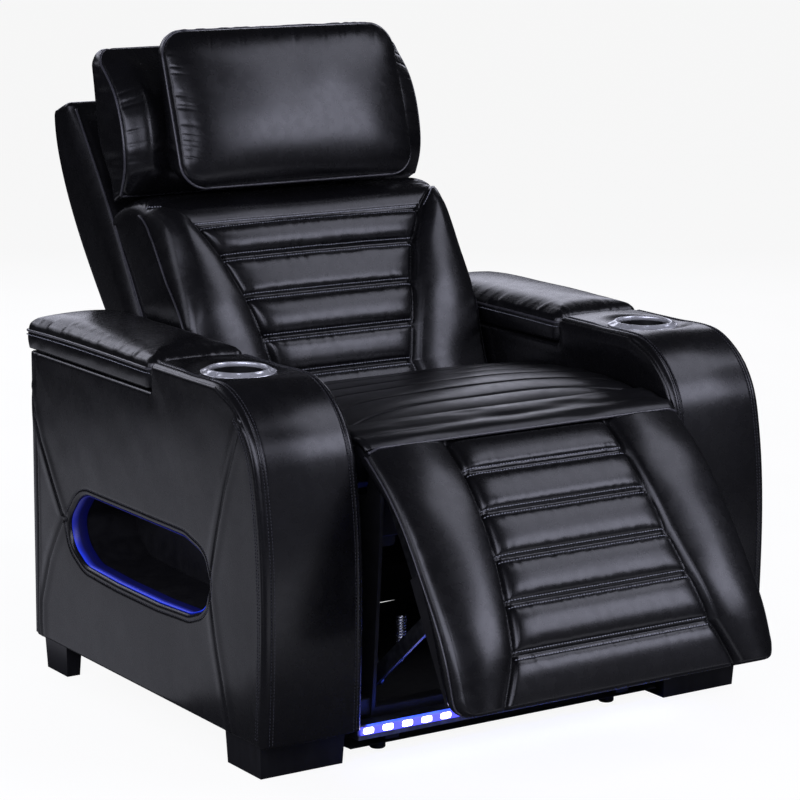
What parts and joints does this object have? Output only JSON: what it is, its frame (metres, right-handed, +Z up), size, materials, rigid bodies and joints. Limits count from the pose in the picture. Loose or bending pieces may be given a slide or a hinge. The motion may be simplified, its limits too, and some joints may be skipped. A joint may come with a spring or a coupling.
{
  "type": "power recliner",
  "caption": "Power recliner with padded footrest, reclining back, tilting head pillow, arm storage lids, cup holders and lit side pockets.",
  "frame": {"origin": "centre of the chair on the floor: the bottom centre of its bounding box in the part-reclined rest pose", "axes": "+X to the right seen from the front, +Y from the footrest to the back, +Z up"},
  "size_m": [0.94, 1.243, 1.0408],
  "materials": {
    "leather_black": "smooth glossy top-grain leather, fine grain, soft sheen",
    "board_leather": "dull black vinyl over board",
    "chrome_trim": "polished chrome",
    "cup_black": "glossy black insert",
    "bin_lining": "black felt lining",
    "led_light": "lit blue LED strip",
    "bar_aluminium": "black powder coat",
    "steel_black": "black powder coated steel",
    "steel_zinc": "dark zinc plated steel",
    "spring_zinc": "zinc plated spring wire",
    "rod_steel": "ground steel rod",
    "motor_black": "black moulded plastic",
    "control_black": "gloss black moulding",
    "button_black": "satin moulded key",
    "glide_plastic": "black nylon glide",
    "leg_black": "black lacquered block leg",
    "frame_wood": "plain hardwood frame"
  },
  "bodies": {
    "base": {"led_bar": "bar_aluminium", "led_strip": "led_light", "base_frame": "steel_black", "glide_feet": "glide_plastic", "square_legs": "leg_black", "mechanism_plate_left": "steel_black", "mechanism_plate_right": "steel_black", "arm_spacers": "steel_black", "mechanism_cross_tubes": "steel_black", "seat_front_rail": "frame_wood", "seat_springs": "spring_zinc", "footrest_motor": "motor_black", "recline_motor": "motor_black", "power_box": "motor_black", "power_inlet": "control_black", "control_panel": "control_black", "lid_hinges": "steel_zinc", "arm_left_outer_panel": "leather_black", "arm_left_inner_panel": "leather_black", "arm_left_front_roll": "leather_black", "arm_left_boards": "leather_black", "storage_bin_left": "bin_lining", "pocket_liner_left": "bin_lining", "pocket_led_left": "led_light", "cup_ring_left": "chrome_trim", "cup_liner_left": "cup_black", "arm_right_outer_panel": "leather_black", "arm_right_inner_panel": "leather_black", "arm_right_front_roll": "leather_black", "arm_right_boards": "leather_black", "storage_bin_right": "bin_lining", "pocket_liner_right": "bin_lining", "pocket_led_right": "led_light", "cup_ring_right": "chrome_trim", "cup_liner_right": "cup_black", "seat_cushion": "leather_black"},
    "footrest": {"footrest_pad": "leather_black", "footrest_board": "board_leather", "footrest_brackets": "steel_black"},
    "crank": {"crank_arms": "steel_zinc", "torque_tube": "steel_black"},
    "coupler": {"coupler_links": "steel_zinc", "coupler_springs": "spring_zinc"},
    "footrest_drive_rod": {"footrest_rod": "rod_steel"},
    "back": {"back_cushion": "leather_black", "back_outer_panel": "leather_black", "back_uprights": "frame_wood", "back_cross_rails": "steel_black", "back_hinge_brackets": "steel_black", "head_motor": "motor_black"},
    "recline_drive_rod": {"recline_rod": "rod_steel"},
    "head": {"head_block": "leather_black", "head_pillow": "leather_black", "head_bracket": "steel_black"},
    "head_drive_rod": {"head_rod": "rod_steel"},
    "lid_left": {"lid_left": "leather_black"},
    "lid_right": {"lid_right": "leather_black"},
    "recline_rocker": {"recline_rocker": "button_black"},
    "headrest_rocker": {"headrest_rocker": "button_black"},
    "light_button": {"light_button": "button_black"}
  },
  "joints": [
    {"name": "footrest_lift", "type": "hinge", "parent": "base", "child": "footrest", "pos_m": [0, -0.333, 0.452], "axis": [-1, 0, 0], "range_deg": [-31, 52]},
    {"name": "crank_turn", "type": "hinge", "parent": "base", "child": "crank", "pos_m": [0, -0.171, 0.315], "axis": [-1, 0, 0], "range_deg": [-31.2, 52.2]},
    {"name": "coupler_pivot", "type": "hinge", "parent": "crank", "child": "coupler", "pos_m": [0, -0.303, 0.113], "axis": [-1, 0, 0], "range_deg": [-52.2, 31.2]},
    {"name": "footrest_rod_slide", "type": "slide", "parent": "base", "child": "footrest_drive_rod", "axis": [0, 1, 0], "range_m": [-0.0585, 0.035]},
    {"name": "back_recline", "type": "hinge", "parent": "base", "child": "back", "pos_m": [0, 0.159, 0.4], "axis": [-1, 0, 0], "range_deg": [-10, 24]},
    {"name": "recline_rod_slide", "type": "slide", "parent": "base", "child": "recline_drive_rod", "axis": [0, 1, 0], "range_m": [-0.049, 0.021]},
    {"name": "headrest_tilt", "type": "hinge", "parent": "back", "child": "head", "pos_m": [0, 0.427, 0.78], "axis": [-1, 0, 0], "range_deg": [-8, 14]},
    {"name": "head_rod_slide", "type": "slide", "parent": "back", "child": "head_drive_rod", "axis": [0, 0.5736, 0.8192], "range_m": [-0.0125, 0.0075]},
    {"name": "lid_left_hinge", "type": "hinge", "parent": "base", "child": "lid_left", "pos_m": [-0.3837, 0.361, 0.532], "axis": [-1, 0, 0], "range_deg": [0, 85]},
    {"name": "lid_right_hinge", "type": "hinge", "parent": "base", "child": "lid_right", "pos_m": [0.3837, 0.361, 0.532], "axis": [-1, 0, 0], "range_deg": [0, 85]},
    {"name": "recline_rocker_tilt", "type": "hinge", "parent": "base", "child": "recline_rocker", "pos_m": [-0.298, -0.224, 0.546], "axis": [0, 0, 1], "range_deg": [-4, 4], "stiffness_Nm_per_rad": 0.15},
    {"name": "headrest_rocker_tilt", "type": "hinge", "parent": "base", "child": "headrest_rocker", "pos_m": [-0.298, -0.18, 0.546], "axis": [0, 0, 1], "range_deg": [-4, 4], "stiffness_Nm_per_rad": 0.15},
    {"name": "light_button_press", "type": "slide", "parent": "base", "child": "light_button", "axis": [-1, 0, 0], "range_m": [0, 0.0012], "stiffness_N_per_m": 500}
  ],
  "couplings": [
    {"joint": "crank_turn", "follows": "footrest_lift", "ratio": 1},
    {"joint": "coupler_pivot", "follows": "footrest_lift", "ratio": -1},
    {"joint": "footrest_rod_slide", "follows": "footrest_lift", "m_per_rad": -0.064},
    {"joint": "recline_rod_slide", "follows": "back_recline", "m_per_rad": -0.1155},
    {"joint": "head_rod_slide", "follows": "headrest_tilt", "m_per_rad": -0.0495}
  ]
}
